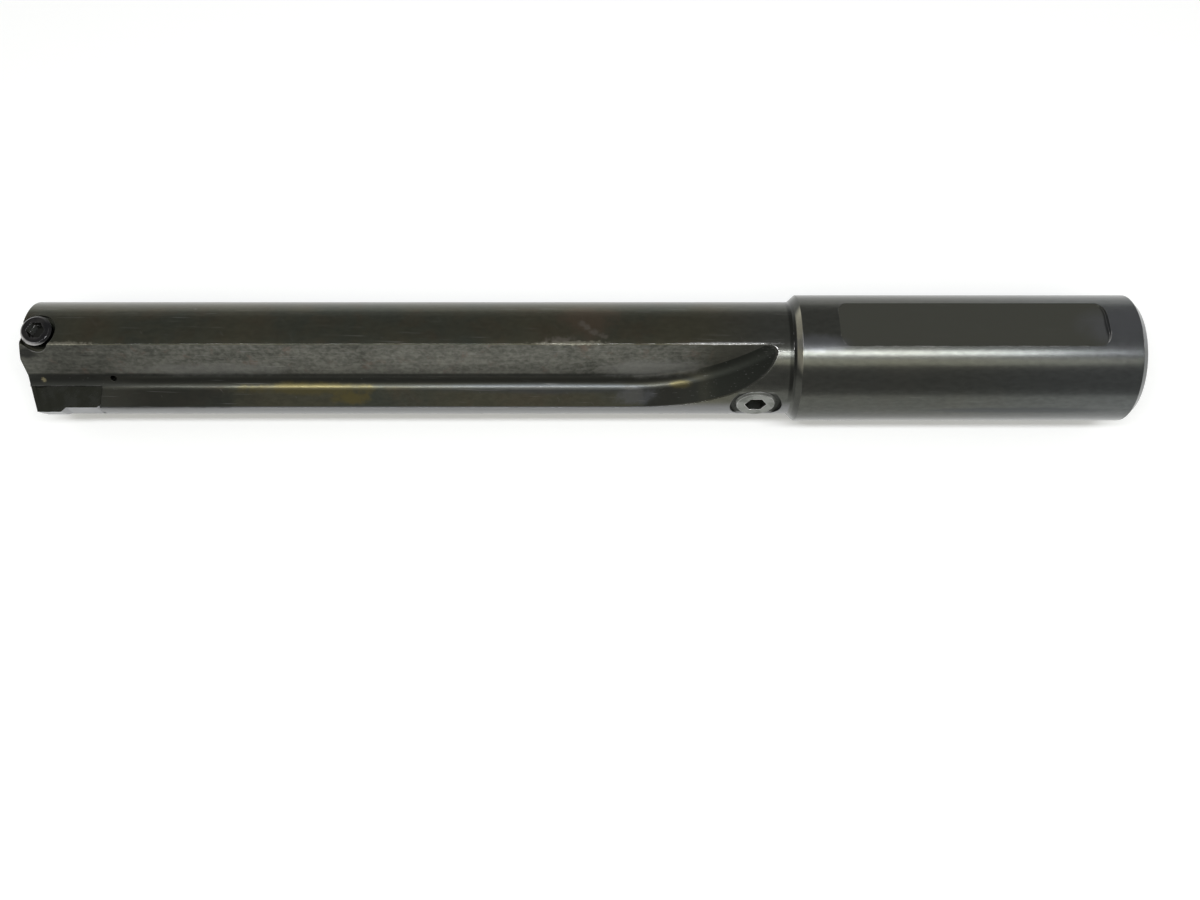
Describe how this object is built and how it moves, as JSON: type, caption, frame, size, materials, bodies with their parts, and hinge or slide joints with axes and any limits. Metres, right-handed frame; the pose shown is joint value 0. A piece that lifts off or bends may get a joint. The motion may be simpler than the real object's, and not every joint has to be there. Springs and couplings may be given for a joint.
{
  "type": "indexable spade drill",
  "caption": "Straight-fluted drill holder with a plain flatted shank, a flat cutting blade clamped in its nose slot by two socket-head screws, and a plugged side coolant port.",
  "frame": {"origin": "on the tool's axis, where the full diameter of the shank begins", "axes": "+X along the tool's axis towards the shank's end, so the blade's point is towards -X; +Z square to the blade's flat faces; the blade's width runs along Y"},
  "size_m": [0.2786, 0.0317, 0.0318],
  "materials": {
    "holder_steel": "black oxide over hardened steel, oiled, scuffed bright at edges and marked with light rust",
    "blade_steel": "dark coated tool steel",
    "screw_steel": "black oxide, worn bright on the head's rim",
    "plug_steel": "dull grey steel"
  },
  "bodies": {
    "root": {"holder": "holder_steel", "spade_blade": "blade_steel", "clamp_screw_upper": "screw_steel", "clamp_screw_lower": "screw_steel", "side_plug": "plug_steel"}
  },
  "joints": []
}
